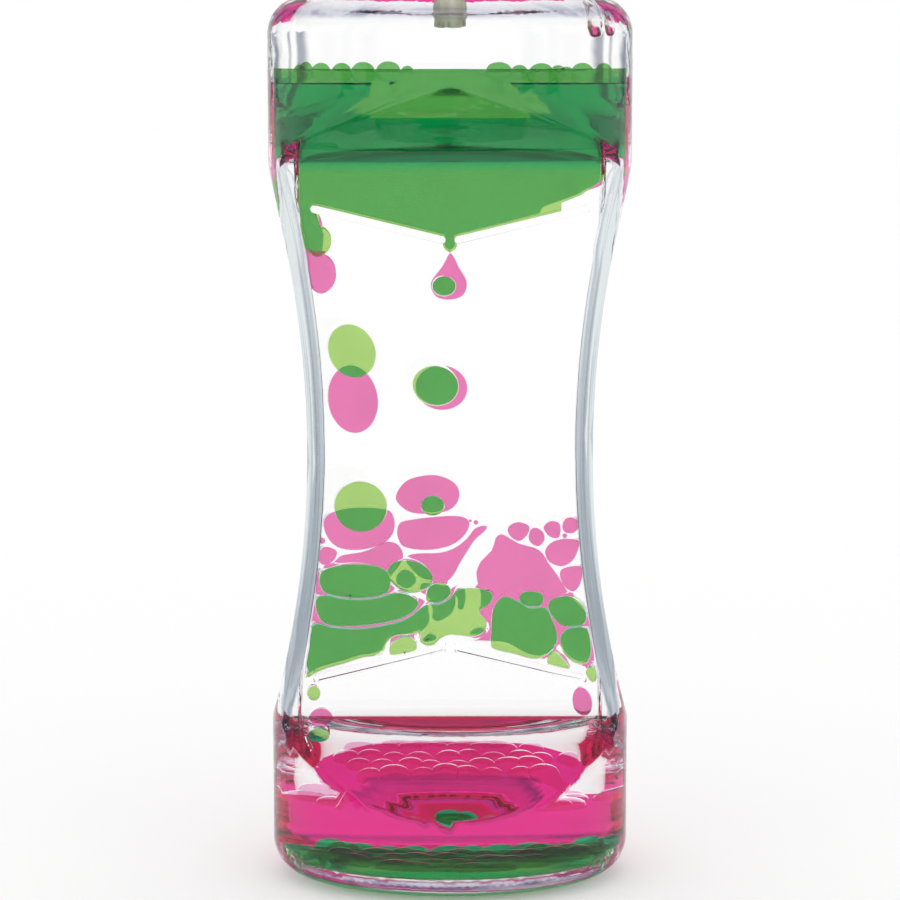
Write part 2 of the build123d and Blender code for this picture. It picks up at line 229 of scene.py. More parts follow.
# The blobs of the heaps on the lower ramps, as points across and up round each outline
PINK_HEAP = [
    [(-9.1, 65.8), (-7.6, 68.3), (-5.2, 69.3), (-2.4, 69.5), (0.3, 68.5), (1.6, 66.8), (1.3, 64.7),
     (-0.4, 63.2), (-3.5, 62.7), (-6.4, 62.9), (-8.3, 64.1)],
    [(-21.1, 60.5), (-20.8, 62.2), (-19.3, 63.2), (-16.8, 63.8), (-13.9, 63.9), (-11.4, 63.7),
     (-9.8, 63.2), (-9.1, 61.3), (-9.5, 59.2), (-11.0, 57.6), (-13.5, 56.7), (-16.0, 56.4), (-18.5, 56.8),
     (-20.2, 58.2)],
    [(-8.9, 59.8), (-8.3, 61.3), (-6.0, 61.9), (-2.7, 62.3), (0.7, 62.5), (2.8, 62.0), (3.3, 60.7),
     (2.3, 58.8), (0.3, 57.3), (-2.7, 56.5), (-5.6, 56.5), (-7.9, 57.1), (-8.7, 58.4)],
    [(6.3, 60.4), (5.5, 60.8), (4.0, 60.2), (2.8, 58.6), (0.7, 56.9), (-1.8, 56.1), (-5.2, 56.0),
     (-7.0, 55.6), (-7.5, 54.7), (-6.6, 53.3), (-5.0, 51.7), (-3.5, 51.2), (-1.8, 50.9), (-0.4, 51.0),
     (0.7, 52.2), (1.7, 54.1), (3.0, 56.3), (4.2, 58.2), (5.5, 59.4)],
    [(-22.6, 48.4), (-22.6, 52.0), (-21.8, 53.1), (-20.2, 53.8), (-18.9, 55.0), (-17.9, 55.7),
     (-14.8, 56.2), (-12.7, 57.0), (-10.6, 58.0), (-8.9, 57.7), (-7.9, 56.5), (-7.8, 55.0), (-8.7, 53.3),
     (-9.9, 51.8), (-9.7, 50.5), (-8.1, 49.2), (-5.6, 48.4), (-3.9, 47.5), (-3.5, 45.8), (-3.5, 43.7),
     (-5.4, 41.8), (-7.7, 41.3), (-10.0, 40.9), (-11.3, 39.7), (-11.9, 38.4), (-14.4, 37.9), (-15.6, 37.7),
     (-18.2, 36.8), (-21.1, 35.9), (-23.5, 35.2), (-24.7, 33.9), (-24.7, 36.0), (-23.8, 41.6)],
    [(-9.1, 51.5), (-8.5, 52.7), (-7.5, 53.2), (-6.2, 52.6), (-5.6, 51.4), (-6.2, 50.2), (-7.5, 49.7),
     (-8.6, 50.2)],
    [(-4.8, 50.7), (-3.1, 50.8), (-1.6, 50.5), (-0.2, 50.3), (0.7, 49.2), (1.0, 47.5), (0.3, 45.4),
     (-1.8, 44.1), (-3.0, 44.6), (-3.0, 46.3), (-3.9, 48.4), (-5.0, 49.2)],
    [(0.2, 49.8), (1.3, 50.4), (2.4, 49.8), (2.7, 48.4), (2.3, 46.3), (1.3, 46.3), (1.2, 48.0),
     (0.6, 48.9)],
    [(-4.7, 40.9), (-3.5, 42.0), (-2.3, 41.6), (-2.3, 40.6), (-3.5, 40.1), (-4.4, 40.3)],
    [(3.3, 42.0), (4.2, 42.9), (5.9, 42.9), (6.2, 42.0), (5.1, 41.2), (3.7, 41.2)],
    [(8.4, 59.3), (7.5, 58.6), (6.9, 56.5), (5.1, 54.6), (4.3, 52.6), (4.6, 50.5), (5.1, 48.8),
     (5.1, 45.8), (6.4, 43.7), (6.4, 42.4), (4.9, 41.1), (3.6, 40.7), (6.7, 40.6), (9.5, 40.4),
     (11.6, 39.2), (14.1, 37.9), (16.0, 37.5), (17.6, 38.8), (18.5, 40.1), (19.1, 38.6), (20.4, 37.3),
     (23.7, 36.0), (24.5, 37.3), (24.2, 39.9), (23.5, 43.7), (22.8, 45.8), (21.2, 47.5), (19.5, 49.7),
     (18.0, 52.2), (16.5, 54.3), (15.5, 56.0), (14.0, 57.0), (11.5, 57.7), (9.4, 59.0)],
    [(9.5, 59.8), (10.0, 60.9), (11.5, 61.4), (13.2, 60.7), (13.0, 59.2), (11.7, 58.0), (10.3, 58.5)],
    [(13.0, 58.6), (13.4, 60.1), (14.4, 60.4), (15.6, 59.6), (15.8, 58.2), (14.8, 57.1), (13.6, 57.5)],
    [(15.5, 60.2), (16.0, 61.2), (17.1, 61.6), (18.3, 61.1), (18.5, 59.6), (18.0, 58.5), (16.5, 58.8)],
    [(18.6, 60.7), (19.2, 62.0), (20.4, 62.2), (21.5, 61.5), (21.4, 60.2), (20.3, 59.3), (19.0, 59.6)],
    [(15.8, 56.5), (16.9, 57.9), (19.0, 58.5), (21.5, 58.2), (21.4, 56.5), (20.5, 54.6), (18.8, 53.6),
     (16.9, 54.1), (16.0, 55.2)],
    [(18.3, 51.8), (18.5, 53.1), (19.9, 53.7), (22.0, 53.7), (22.2, 52.2), (21.6, 50.1), (20.5, 49.2),
     (19.1, 50.1)],
    [(-22.0, 55.5), (-21.4, 56.9), (-20.2, 57.1), (-18.8, 56.3), (-19.2, 54.8), (-20.6, 53.8),
     (-21.8, 54.3)],
]
# Small drops between them: place across, place up, radius
PINK_DOTS = [(4.3, 61.2, 0.42), (3.4, 61.5, 0.25), (19.1, 58.9, 0.42), (-21.3, 58.0, 0.58)]
GREEN_HEAP = [
    [(-22.0, 51.9), (-21.5, 53.8), (-19.1, 54.7), (-15.8, 55.0), (-12.5, 54.7), (-10.7, 53.8),
     (-9.9, 51.9), (-10.5, 50.2), (-12.5, 49.4), (-15.8, 49.1), (-19.1, 49.5), (-21.2, 50.2)],
    [(-10.6, 53.8), (-9.6, 55.2), (-7.6, 55.7), (-5.1, 55.2), (-3.5, 54.0), (-2.8, 52.5), (-3.5, 51.1),
     (-5.5, 50.1), (-7.6, 50.2), (-9.3, 51.3), (-10.4, 52.5)],
    [(-4.1, 49.6), (-3.5, 51.1), (-2.0, 51.8), (-0.4, 51.5), (0.2, 50.2), (-0.6, 49.0), (-2.2, 48.3),
     (-3.7, 48.5)],
    [(-22.7, 48.1), (-22.2, 49.4), (-20.4, 49.6), (-17.9, 49.0), (-14.2, 48.9), (-11.7, 49.3),
     (-9.2, 50.1), (-6.8, 49.7), (-5.3, 48.5), (-5.9, 47.1), (-8.0, 45.7), (-11.7, 44.8), (-15.9, 44.3),
     (-20.0, 44.4), (-22.0, 45.6)],
    [(-24.6, 35.5), (-23.9, 40.5), (-23.5, 43.5), (-22.7, 44.8), (-20.0, 44.1), (-15.9, 43.8),
     (-11.7, 44.3), (-7.6, 45.4), (-5.3, 47.1), (-3.9, 48.1), (-2.0, 48.0), (0.0, 49.1), (0.9, 50.4),
     (2.1, 50.9), (4.8, 50.9), (6.8, 50.2), (7.4, 49.4), (6.2, 47.7), (4.9, 46.8), (6.0, 45.6),
     (6.2, 44.3), (5.4, 43.0), (3.6, 42.4), (0.3, 42.8), (-1.6, 42.1), (-2.6, 41.1), (-3.9, 40.9),
     (-4.8, 41.3), (-5.3, 42.1), (-5.0, 43.1), (-7.2, 42.8), (-9.3, 42.6), (-10.7, 41.4), (-11.5, 39.4),
     (-14.6, 38.9), (-17.9, 37.8), (-20.8, 37.0), (-22.7, 36.2)],
    [(-10.3, 39.9), (-10.0, 41.3), (-8.4, 42.3), (-6.8, 42.5), (-5.7, 41.6), (-5.7, 40.2), (-7.6, 39.6),
     (-9.8, 39.3)],
    [(6.9, 43.1), (7.1, 46.9), (8.3, 49.0), (9.7, 49.4), (11.6, 48.5), (13.5, 47.4), (16.0, 47.5),
     (17.2, 45.6), (18.1, 43.1), (17.9, 41.0), (16.4, 39.4), (14.3, 38.6), (11.0, 39.4), (7.4, 40.3),
     (6.8, 41.4)],
    [(11.6, 49.0), (12.0, 50.0), (13.4, 50.4), (15.3, 50.0), (15.8, 48.9), (15.1, 47.8), (13.2, 47.7),
     (12.1, 48.1)],
    [(16.5, 48.1), (17.6, 49.2), (20.2, 49.5), (21.9, 48.5), (22.9, 46.9), (22.9, 45.2), (22.0, 44.4),
     (19.2, 44.3), (17.8, 45.3), (16.8, 46.7)],
    [(18.6, 42.4), (19.7, 43.8), (22.5, 44.1), (23.5, 43.1), (23.9, 40.1), (23.2, 38.0), (21.3, 37.9),
     (19.4, 39.3), (18.7, 41.0)],
    [(16.4, 37.9), (16.6, 39.4), (17.7, 40.0), (18.8, 39.1), (20.3, 37.3), (19.8, 36.9), (17.4, 37.5)],
    [(22.9, 36.5), (23.7, 37.5), (24.7, 36.8), (24.9, 35.3), (24.3, 34.6), (23.3, 35.4)],
]
# Place across, back and up, half width and half height of the drops along the funnel pool's top
BALLS = [
    (-22.4, -5.0, 137.2, 1.3, 1.6),
    (-21.0, -3.0, 137.6, 1.2, 1.6),
    (-19.3, -7.0, 137.5, 1.6, 1.6),
    (-16.2, -8.0, 137.5, 1.6, 1.6),
    (-13.0, -9.0, 137.6, 1.9, 1.7),
    (-9.2, -9.5, 137.8, 1.9, 1.6),
    (-6.4, -10.5, 137.8, 0.9, 0.9),
    (7.3, -9.5, 137.8, 2.0, 1.5),
    (10.3, -9.0, 137.6, 1.3, 1.2),
    (13.6, -8.5, 137.2, 2.1, 1.9),
    (15.9, -6.0, 137.4, 1.3, 1.3),
    (17.4, -8.0, 136.9, 1.7, 1.6),
    (19.8, -6.5, 137.4, 1.9, 1.7),
    (22.9, -4.5, 137.5, 1.5, 1.5),
]


def camera():
    data = bpy.data.cameras.new("camera")
    data.sensor_width = SENSOR
    data.lens = FOCAL_SHARE * SENSOR
    data.clip_start = 0.01
    data.clip_end = 50
    obj = bpy.data.objects.new("camera", data)
    obj.location = CAMERA_PLACE
    obj.rotation_euler = (math.pi / 2 - CAMERA_PITCH, 0, 0)
    bpy.context.scene.collection.objects.link(obj)
    bpy.context.scene.camera = obj


def node_tree(name):
    """A new material and its cleared node tree."""
    material = bpy.data.materials.new(name)
    material.use_nodes = True
    tree = material.node_tree
    tree.nodes.clear()
    return material, tree


def output(tree, shader):
    out = tree.nodes.new("ShaderNodeOutputMaterial")
    tree.links.new(shader.outputs[0], out.inputs["Surface"])


def lets_light_by(tree, shader, tint):
    """Mix a shader with a plain tint for shadow rays, so that light reaches what is behind."""
    path = tree.nodes.new("ShaderNodeLightPath")
    through = tree.nodes.new("ShaderNodeBsdfTransparent")
    through.inputs["Color"].default_value = (*tint, 1)
    mix = tree.nodes.new("ShaderNodeMixShader")
    tree.links.new(path.outputs["Is Shadow Ray"], mix.inputs["Fac"])
    tree.links.new(shader.outputs[0], mix.inputs[1])
    tree.links.new(through.outputs[0], mix.inputs[2])
    return mix


def glass_shader(tree, ior):
    shader = tree.nodes.new("ShaderNodeBsdfGlass")
    shader.inputs["IOR"].default_value = ior
    shader.inputs["Roughness"].default_value = 0
    shader.inputs["Color"].default_value = (1, 1, 1, 1)
    return shader


def glass(name, ior):
    """A clear face that bends light by its index next to what it touches."""
    material, tree = node_tree(name)
    output(tree, lets_light_by(tree, glass_shader(tree, ior), CLEAR_SHADOW))
    return material


def math_node(tree, operation, *values):
    """A Math node. Each value is a number or another node's output."""
    node = tree.nodes.new("ShaderNodeMath")
    node.operation = operation
    for socket, value in zip(node.inputs, values):
        if isinstance(value, (int, float)):
            socket.default_value = value
        else:
            tree.links.new(value, socket)
    return node.outputs[0]


def ramp(tree, value, low, high):
    """A share that goes smoothly from 0 at low to 1 at high."""
    share = tree.nodes.new("ShaderNodeMapRange")
    share.interpolation_type = "SMOOTHSTEP"
    share.inputs["From Min"].default_value = low
    share.inputs["From Max"].default_value = high
    tree.links.new(value, share.inputs["Value"])
    return share.outputs[0]


def place_of(tree):
    """Object coordinates as a vector and as its three parts, in metres."""
    place = tree.nodes.new("ShaderNodeTexCoord")
    split = tree.nodes.new("ShaderNodeSeparateXYZ")
    tree.links.new(place.outputs["Object"], split.inputs[0])
    return place.outputs["Object"], split.outputs


def noise(tree, vector, stretch, detail=2):
    """Noise over object space. Stretch is its number of features per metre along each axis."""
    scale = tree.nodes.new("ShaderNodeVectorMath")
    scale.operation = "MULTIPLY"
    scale.inputs[1].default_value = stretch
    tree.links.new(vector, scale.inputs[0])
    texture = tree.nodes.new("ShaderNodeTexNoise")
    texture.inputs["Scale"].default_value = 1
    texture.inputs["Detail"].default_value = detail
    tree.links.new(scale.outputs[0], texture.inputs["Vector"])
    return texture.outputs[0]


def painted_wall_shade(tree):
    """Painted shade in the side, top and bottom walls where a face lets light run along them: a grey
    with streaks that stands in for darker surroundings bent through the thick plastic, and partly the
    plastic's own faint tint seen edge-on."""
    place, (x, y, z) = place_of(tree)
    geometry = tree.nodes.new("ShaderNodeNewGeometry")
    normal = tree.nodes.new("ShaderNodeSeparateXYZ")
    tree.links.new(geometry.outputs["Normal"], normal.inputs[0])
    up = math_node(tree, "DIVIDE", math_node(tree, "SUBTRACT", z, HALF_HEIGHT), WAIST_REACH)
    bow = math_node(tree, "MINIMUM", math_node(tree, "MULTIPLY", up, up), 1)
    half_width = math_node(tree, "ADD", math_node(tree, "MULTIPLY", bow, WAIST_BOW), WAIST_HALF)
    inward = math_node(tree, "SUBTRACT", half_width, math_node(tree, "ABSOLUTE", x))
    side = ramp(tree, inward, SIDE_WALL, SIDE_FULL * SIDE_WALL)
    from_middle = math_node(tree, "ABSOLUTE", math_node(tree, "SUBTRACT", z, HALF_HEIGHT))
    end = ramp(tree, from_middle, HALF_HEIGHT - END_WALL, HALF_HEIGHT - END_FULL * END_WALL)
    across = ramp(tree, math_node(tree, "ABSOLUTE", normal.outputs["X"]), *ACROSS_A_WALL)
    level = ramp(tree, math_node(tree, "ABSOLUTE", normal.outputs["Z"]), *ACROSS_A_WALL)
    side = math_node(tree, "MULTIPLY", side, across)
    end = math_node(tree, "MULTIPLY", end, level)
    follow = tree.nodes.new("ShaderNodeCombineXYZ")
    tree.links.new(inward, follow.inputs["X"])
    tree.links.new(y, follow.inputs["Y"])
    tree.links.new(z, follow.inputs["Z"])
    along_side = ramp(tree, noise(tree, follow.outputs[0], SIDE_SHADE_STREAKS), *SIDE_SHADE_STREAK_FADE)
    along_end = ramp(tree, noise(tree, place, END_SHADE_STREAKS), *END_SHADE_STREAK_FADE)
    side_shade = mix_color(tree, WALL_SHADE_GREY, WALL_SHADE_STREAK, along_side)
    end_shade = mix_color(tree, END_SHADE_GREY, END_SHADE_STREAK, along_end)
    grey = mix_color(tree, end_shade, side_shade, side)
    return mix_color(tree, (1, 1, 1), grey, math_node(tree, "MAXIMUM", side, end))


def rounded_glass_painted_shade(name, ior):
    """Glass whose sharp edges look rounded, as on a polished moulding, coloured with the painted wall
    shade.
    """
    material, tree = node_tree(name)
    shader = glass_shader(tree, ior)
    edge = tree.nodes.new("ShaderNodeBevel")
    edge.samples = 6
    edge.inputs["Radius"].default_value = ROUNDING
    tree.links.new(edge.outputs[0], shader.inputs["Normal"])
    # Painted shade: the walls' grey and streaks become the glass colour
    tree.links.new(painted_wall_shade(tree), shader.inputs["Color"])
    output(tree, lets_light_by(tree, shader, CLEAR_SHADOW))
    return material


def contact(name):
    """A face between two clear things of the same index. Light goes straight on."""
    material, tree = node_tree(name)
    shader = tree.nodes.new("ShaderNodeBsdfRefraction")
    shader.inputs["IOR"].default_value = 1
    shader.inputs["Roughness"].default_value = 0
    output(tree, lets_light_by(tree, shader, (1, 1, 1)))
    return material


def mix_color(tree, first, second, factor):
    """A colour mix. Each colour is a plain value or another node's colour output."""
    mix = tree.nodes.new("ShaderNodeMix")
    mix.data_type = "RGBA"
    for socket, color in ((mix.inputs[6], first), (mix.inputs[7], second)):
        if isinstance(color, tuple):
            socket.default_value = (*color, 1)
        else:
            tree.links.new(color, socket)
    tree.links.new(factor, mix.inputs[0])
    return mix.outputs[2]


def front_only(tree, color):
    """A tint on front faces and none on back faces, so that a liquid tints once."""
    geometry = tree.nodes.new("ShaderNodeNewGeometry")
    return mix_color(tree, color, (1, 1, 1), geometry.outputs["Backfacing"])


def by_height(tree, low, high):
    """A share that goes from 0 to 1 between two heights of the timer."""
    return ramp(tree, place_of(tree)[1]["Z"], low, high)


def uneven(tree, color):
    """A tint with slow faint clouds in it, as where dye isn't stirred in fully."""
    clouds = ramp(tree, noise(tree, place_of(tree)[0], DYE_CLOUDS), *DYE_CLOUD_FADE)
    return mix_color(tree, color, tuple(CLOUD * c for c in color), clouds)


def edge_of(tree, threshold):
    """One where a face is seen further from square on than the threshold, zero elsewhere."""
    weight = tree.nodes.new("ShaderNodeLayerWeight")
    weight.inputs["Blend"].default_value = 0.5
    return math_node(tree, "GREATER_THAN", weight.outputs["Facing"], threshold)


def green(name, color, deep=None, heights=POOL_HEIGHTS, edge_from=BLOB_EDGE, pale_highlight_edges=True):
    """Green liquid. A face seen square on lets a ray go straight on, and that ray's transparent depth
    tells the pink behind that it is seen through green. The edges bend light and, if asked, stay
    untinted as a painted highlight."""
    material, tree = node_tree(name)
    color = uneven(tree, color)
    if deep:
        color = mix_color(tree, color, uneven(tree, deep), by_height(tree, *heights))
    straight = tree.nodes.new("ShaderNodeBsdfTransparent")
    tree.links.new(front_only(tree, color), straight.inputs["Color"])
    bent = glass_shader(tree, LIQUID_IOR)
    # Pale edges are a painted highlight: the bent light is tinted only when they are turned off
    if not pale_highlight_edges:
        tree.links.new(front_only(tree, color), bent.inputs["Color"])
    mix = tree.nodes.new("ShaderNodeMixShader")
    tree.links.new(edge_of(tree, edge_from), mix.inputs["Fac"])
    tree.links.new(straight.outputs[0], mix.inputs[1])
    tree.links.new(bent.outputs[0], mix.inputs[2])
    output(tree, lets_light_by(tree, mix, LIME))
    return material


def pink(
    name,
    color,
    through_green,
    deep=None,
    deep_through_green=None,
    edge_from=BLOB_EDGE,
    ior=LIQUID_IOR,
):
    """Pink liquid with pale edges, a painted highlight, which turns dark green where it is seen through
    green liquid.
    """
    material, tree = node_tree(name)
    color = uneven(tree, color)
    if deep:
        height = by_height(tree, *POOL_HEIGHTS)
        color = mix_color(tree, color, uneven(tree, deep), height)
        through_green = mix_color(tree, through_green, deep_through_green, height)
    path = tree.nodes.new("ShaderNodeLightPath")
    behind = math_node(tree, "GREATER_THAN", path.outputs["Transparent Depth"], 0.5)
    tint = front_only(tree, mix_color(tree, color, through_green, behind))
    # Painted highlight: the tint fades to white where a face is seen edge-on
    color = mix_color(tree, tint, (1, 1, 1), edge_of(tree, edge_from))
    shader = glass_shader(tree, ior)
    tree.links.new(color, shader.inputs["Color"])
    output(tree, lets_light_by(tree, shader, ROSE))
    return material


def stopper(name):
    """Beige rubber with slightly lighter clouds."""
    material, tree = node_tree(name)
    clouds = noise(tree, place_of(tree)[0], RUBBER_CLOUDS, detail=4)
    color = mix_color(tree, BEIGE, PALE_BEIGE, ramp(tree, clouds, *RUBBER_CLOUD_FADE))
    shader = tree.nodes.new("ShaderNodeBsdfPrincipled")
    shader.inputs["Roughness"].default_value = 0.5
    tree.links.new(color, shader.inputs["Base Color"])
    output(tree, shader)
    return material


def tree_of(names):
    """A search tree over the faces of these nodes."""
    points, faces = [], []
    for name in names:
        mesh = nodes[name].data
        start = len(points)
        points += [v.co.copy() for v in mesh.vertices]
        faces += [[start + i for i in p.vertices] for p in mesh.polygons]
    return BVHTree.FromPolygons(points, faces)


def dress(name, material):
    mesh = nodes[name].data
    mesh.materials.clear()
    mesh.materials.append(material)


def dress_shell(name, other, materials):
    """Give a shell's outer, inner and seam faces their own material."""
    contents = tree_of([n for n in nodes if n not in SHELLS])
    other_shell = tree_of([other])
    mesh = nodes[name].data
    mesh.materials.clear()
    for material in materials:
        mesh.materials.append(material)
    for face in mesh.polygons:
        if other_shell.find_nearest(face.center, TOUCHING)[0]:
            face.material_index = SEAM_SLOT
        elif contents.find_nearest(face.center, TOUCHING)[0]:
            face.material_index = INNER_SLOT
        else:
            face.material_index = 0


def finish_node(name, degrees):
    """Weld the imported faces, draw the piece in by a hair and shade it smooth up to an angle."""
    obj = nodes[name]
    weld = obj.modifiers.new("weld", "WELD")
    weld.merge_threshold = WELD
    skin = obj.modifiers.new("skin", "DISPLACE")
    skin.mid_level = 0
    skin.strength = -SKIN
    obj.data.shade_smooth()
    obj.data.set_sharp_from_angle(angle=math.radians(degrees))
    flat_faces_stay_flat(obj)


def flat_faces_stay_flat(obj):
    """Shade by the large faces, so that a flat panel doesn't bend light like a lens."""
    normals = obj.modifiers.new("normals", "WEIGHTED_NORMAL")
    normals.mode = "FACE_AREA"
    normals.weight = 100
    normals.keep_sharp = True


def box_mm(node):
    """A node's box in millimetres: low corner, high corner."""
    low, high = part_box(node)
    return low / MM, high / MM


def piece(name, bm, materials, node, degrees=BLOB_ANGLE, replaces=True):
    """Make a mesh in millimetres into a piece on a CAD node's body, in the node's place if asked."""
    bmesh.ops.scale(bm, vec=(MM, MM, MM), verts=bm.verts)
    bmesh.ops.recalc_face_normals(bm, faces=bm.faces)
    mesh = bpy.data.meshes.new(name)
    bm.to_mesh(mesh)
    bm.free()
    mesh.shade_smooth()
    mesh.set_sharp_from_angle(angle=math.radians(degrees))
    for material in materials:
        mesh.materials.append(material)
    obj = bpy.data.objects.new(name, mesh)
    bpy.context.scene.collection.objects.link(obj)
    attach(obj, bodies[node])
    if replaces:
        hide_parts(node)


def oval(x, z, wide, high, lean=0, egg=0):
    """An oval outline. Lean turns it anticlockwise in degrees, and egg makes its lower end fuller."""
    points = []
    for i in range(AROUND):
        angle = 2 * math.pi * i / AROUND
        across, up = math.cos(angle - math.radians(lean)), math.sin(angle - math.radians(lean))
        radius = wide * high / math.hypot(high * across, wide * up) * (1 - egg * up)
        points.append(Vector((x + radius * math.cos(angle), z + radius * math.sin(angle))))
    return points


def smooth_loop(points):
    """A closed smooth curve through given points, anticlockwise as seen from the front."""
    curve = []
    count = len(points)
    between = max(2, AROUND // count)
    for i in range(count):
        before, start, end, after = (Vector(points[(i + k) % count]) for k in (-1, 0, 1, 2))
        for j in range(between):
            t = j / between
            curve.append(
                start
                + (end - before) * (t / 2)
                + (2 * before - 5 * start + 4 * end - after) * (t * t / 2)
                + (3 * start - before - 3 * end + after) * (t**3 / 2)
            )
    area = sum(a.cross(b) for a, b in zip(curve, curve[1:] + curve[:1]))
    return curve if area > 0 else curve[::-1]


def in_waist(points):
    """Keep an outline inside the curved side walls and above the lower ramps."""
    kept = []
    for x, z in points:
        side = WALL_CENTRE - math.sqrt(WALL_RADIUS**2 - (z - MIDDLE) ** 2) - CLEAR
        x = max(-side, min(side, x))
        if abs(x) < RAMP_REACH:
            z = max(z, RAMP_TOP - RAMP_SLOPE * abs(x) + CLEAR)
        kept.append(Vector((x, z)))
    return kept


def distance_to(edge, point):
    """How far a point is from an edge, or from the edge's start where it lies past an end."""
    start, end = edge
    foot, share = intersect_point_line(point, start, end)
    return (point - foot).length if 0 < share < 1 else (point - start).length


def moved_in(points, outward, inset):
    """An outline moved in, with a straight run of points wherever it would fold over itself."""
    count = len(points)
    moved = [point - normal * inset for point, normal in zip(points, outward)]
    edges = list(zip(points, points[1:] + points[:1]))
    good = [min(distance_to(edge, at) for edge in edges) > FOLDED * inset for at in moved]
    if not any(good):
        return moved
    result = []
    for i in range(count):
        if good[i]:
            result.append(moved[i])
            continue
        back = next(k for k in range(1, count) if good[i - k])
        ahead = next(k for k in range(1, count) if good[(i + k) % count])
        result.append(moved[i - back].lerp(moved[(i + ahead) % count], back / (back + ahead)))
    return result


def join_rings(bm, rings):
    """Faces between each ring of points and the next one."""
    count = len(rings[0])
    for ring, following in zip(rings, rings[1:]):
        for i in range(count):
            j = (i + 1) % count
            bm.faces.new((ring[i], ring[j], following[j], following[i]))


def pancake(name, points, depths, material, node, rim=RIM):
    """A flat body of liquid with rounded edges, squeezed between two depths."""
    count = len(points)
    outward = []
    for i in range(count):
        along = points[(i + 1) % count] - points[i - 1]
        outward.append(Vector((along.y, -along.x)).normalized())
    near, far = depths
    profile = [(RIM_LEAD * rim, near)]
    for k in range(RIM_STEPS + 1):
        angle = math.pi / 2 * k / RIM_STEPS
        profile.append((rim * (1 - math.sin(angle)), near + rim * (1 - math.cos(angle))))
    profile += [(inset, near + far - y) for inset, y in reversed(profile)]
    bm = bmesh.new()
    rings = []
    for inset, y in profile:
        rings.append([bm.verts.new((at.x, y, at.y)) for at in moved_in(points, outward, inset)])
    join_rings(bm, rings)
    bm.faces.new(rings[0])
    bm.faces.new(rings[-1])
    piece(name, bm, [material], node)


def drop_depths(node):
    """The front and back of a CAD drop."""
    low, high = box_mm(node)
    return low.y, high.y


def falling_drop(node, lean, egg, material):
    """A CAD drop as an oval with rounded edges."""
    low, high = box_mm(node)
    middle = (low + high) / 2
    half = (high - low) / 2
    outline = oval(middle.x, middle.z, half.x, half.z, lean, egg)
    pancake(f"{node}_liquid", outline, drop_depths(node), material, node)


def heap(node, ramps, colour, blobs, material):
    """The blobs of liquid on the lower ramps, with a film of oil between them."""
    low, high = box_mm(ramps)
    depths = (low.y + CLEAR, high.y - CLEAR)
    for number, points in enumerate(blobs, 1):
        pancake(f"{colour}_heap_blob_{number}", in_waist(smooth_loop(points)), depths, material, node)


def in_oval(x, y, share):
    """Whether a place is inside a share of the pools' half oval."""
    return math.hypot(x / CELL_HALF_WIDTH, y / CELL_DEPTH) < share


def dome_places(side, landing, middle_share):
    """Centres, radii and heights of the domes that cover a pool, packed at random in its half oval.
    The places where these drops land stay free. Middle share makes the domes lower in the middle."""
    landings = [box_mm(node) for node in landing]
    places = []
    row = 0
    y = DIVIDER_FACE + DOME_GAP / 2
    while y < CELL_DEPTH:
        x = -CELL_HALF_WIDTH + (row % 2) * DOME_GAP / 2
        while x < CELL_HALF_WIDTH:
            at_x = x + random.uniform(-DOME_SHIFT, DOME_SHIFT)
            at_y = y + random.uniform(-DOME_SHIFT, DOME_SHIFT)
            radius = DOME_GAP * random.uniform(*DOME_RADII)
            free = all(
                at_x + radius < low.x
                or at_x - radius > high.x
                or side * at_y + radius < low.y
                or side * at_y - radius > high.y
                for low, high in landings
            )
            if free and in_oval(at_x, at_y, DOME_WITHIN):
                pile = middle_share + (1 - middle_share) * (at_x / PILE_REACH) ** 2
                high = radius * random.uniform(*DOME_HEIGHTS) * pile
                places.append((Vector((at_x, side * at_y)), radius, high))
            x += DOME_GAP
        y += DOME_GAP * DOME_ROWS
        row += 1
    return places


def in_pool(point):
    return in_oval(point.x, point.y, RIM_WITHIN) and abs(point.y) > DIVIDER_FACE + CLEAR


def dome_reach(centre, radius, places):
    """How far a dome spreads each way before it meets a neighbour or the pool's wall."""
    reach = []
    for i in range(DOME_AROUND):
        angle = 2 * math.pi * i / DOME_AROUND
        ray = Vector((math.cos(angle), math.sin(angle)))
        far = radius
        for other, other_radius, _ in places:
            gap = other - centre
            if other is centre or gap.length > 2 * DOME_GAP:
                continue
            towards = ray.dot(gap) / gap.length
            if towards > 0:
                border = (gap.length**2 + radius**2 - other_radius**2) / (2 * gap.length)
                far = min(far, max(LEAST_REACH, (border - DOME_FILM) / towards))
        while far > REACH_END and not in_pool(centre + ray * far):
            far -= REACH_STEP
        reach.append((ray, far))
    return reach


def foam(name, node, side, level, materials, landing, middle_share=1):
    """Drops that lie on a pool before they merge with it, as domes pressed against each other. The
    first material is the domes' and the second is for the faces under them, inside the liquid."""
    places = dome_places(side, landing, middle_share)
    bm = bmesh.new()
    for centre, radius, high in places:
        reach = dome_reach(centre, radius, places)
        rings = []
        for share in DOME_RINGS:
            ring = []
            for ray, far in reach:
                out = share * far
                at = centre + ray * out
                up = high * math.sqrt(max(0, 1 - (out / radius) ** 2))
                ring.append(bm.verts.new((at.x, at.y, level + up)))
            rings.append(ring)
        rings.append([bm.verts.new((v.co.x, v.co.y, level - DOME_FILM)) for v in rings[-1]])
        join_rings(bm, rings)
        peak = bm.verts.new((centre.x, centre.y, level + high))
        for i in range(DOME_AROUND):
            bm.faces.new((peak, rings[0][i], rings[0][(i + 1) % DOME_AROUND]))
        bm.faces.new(rings[-1]).material_index = 1
    piece(name, bm, materials, node, replaces=False)


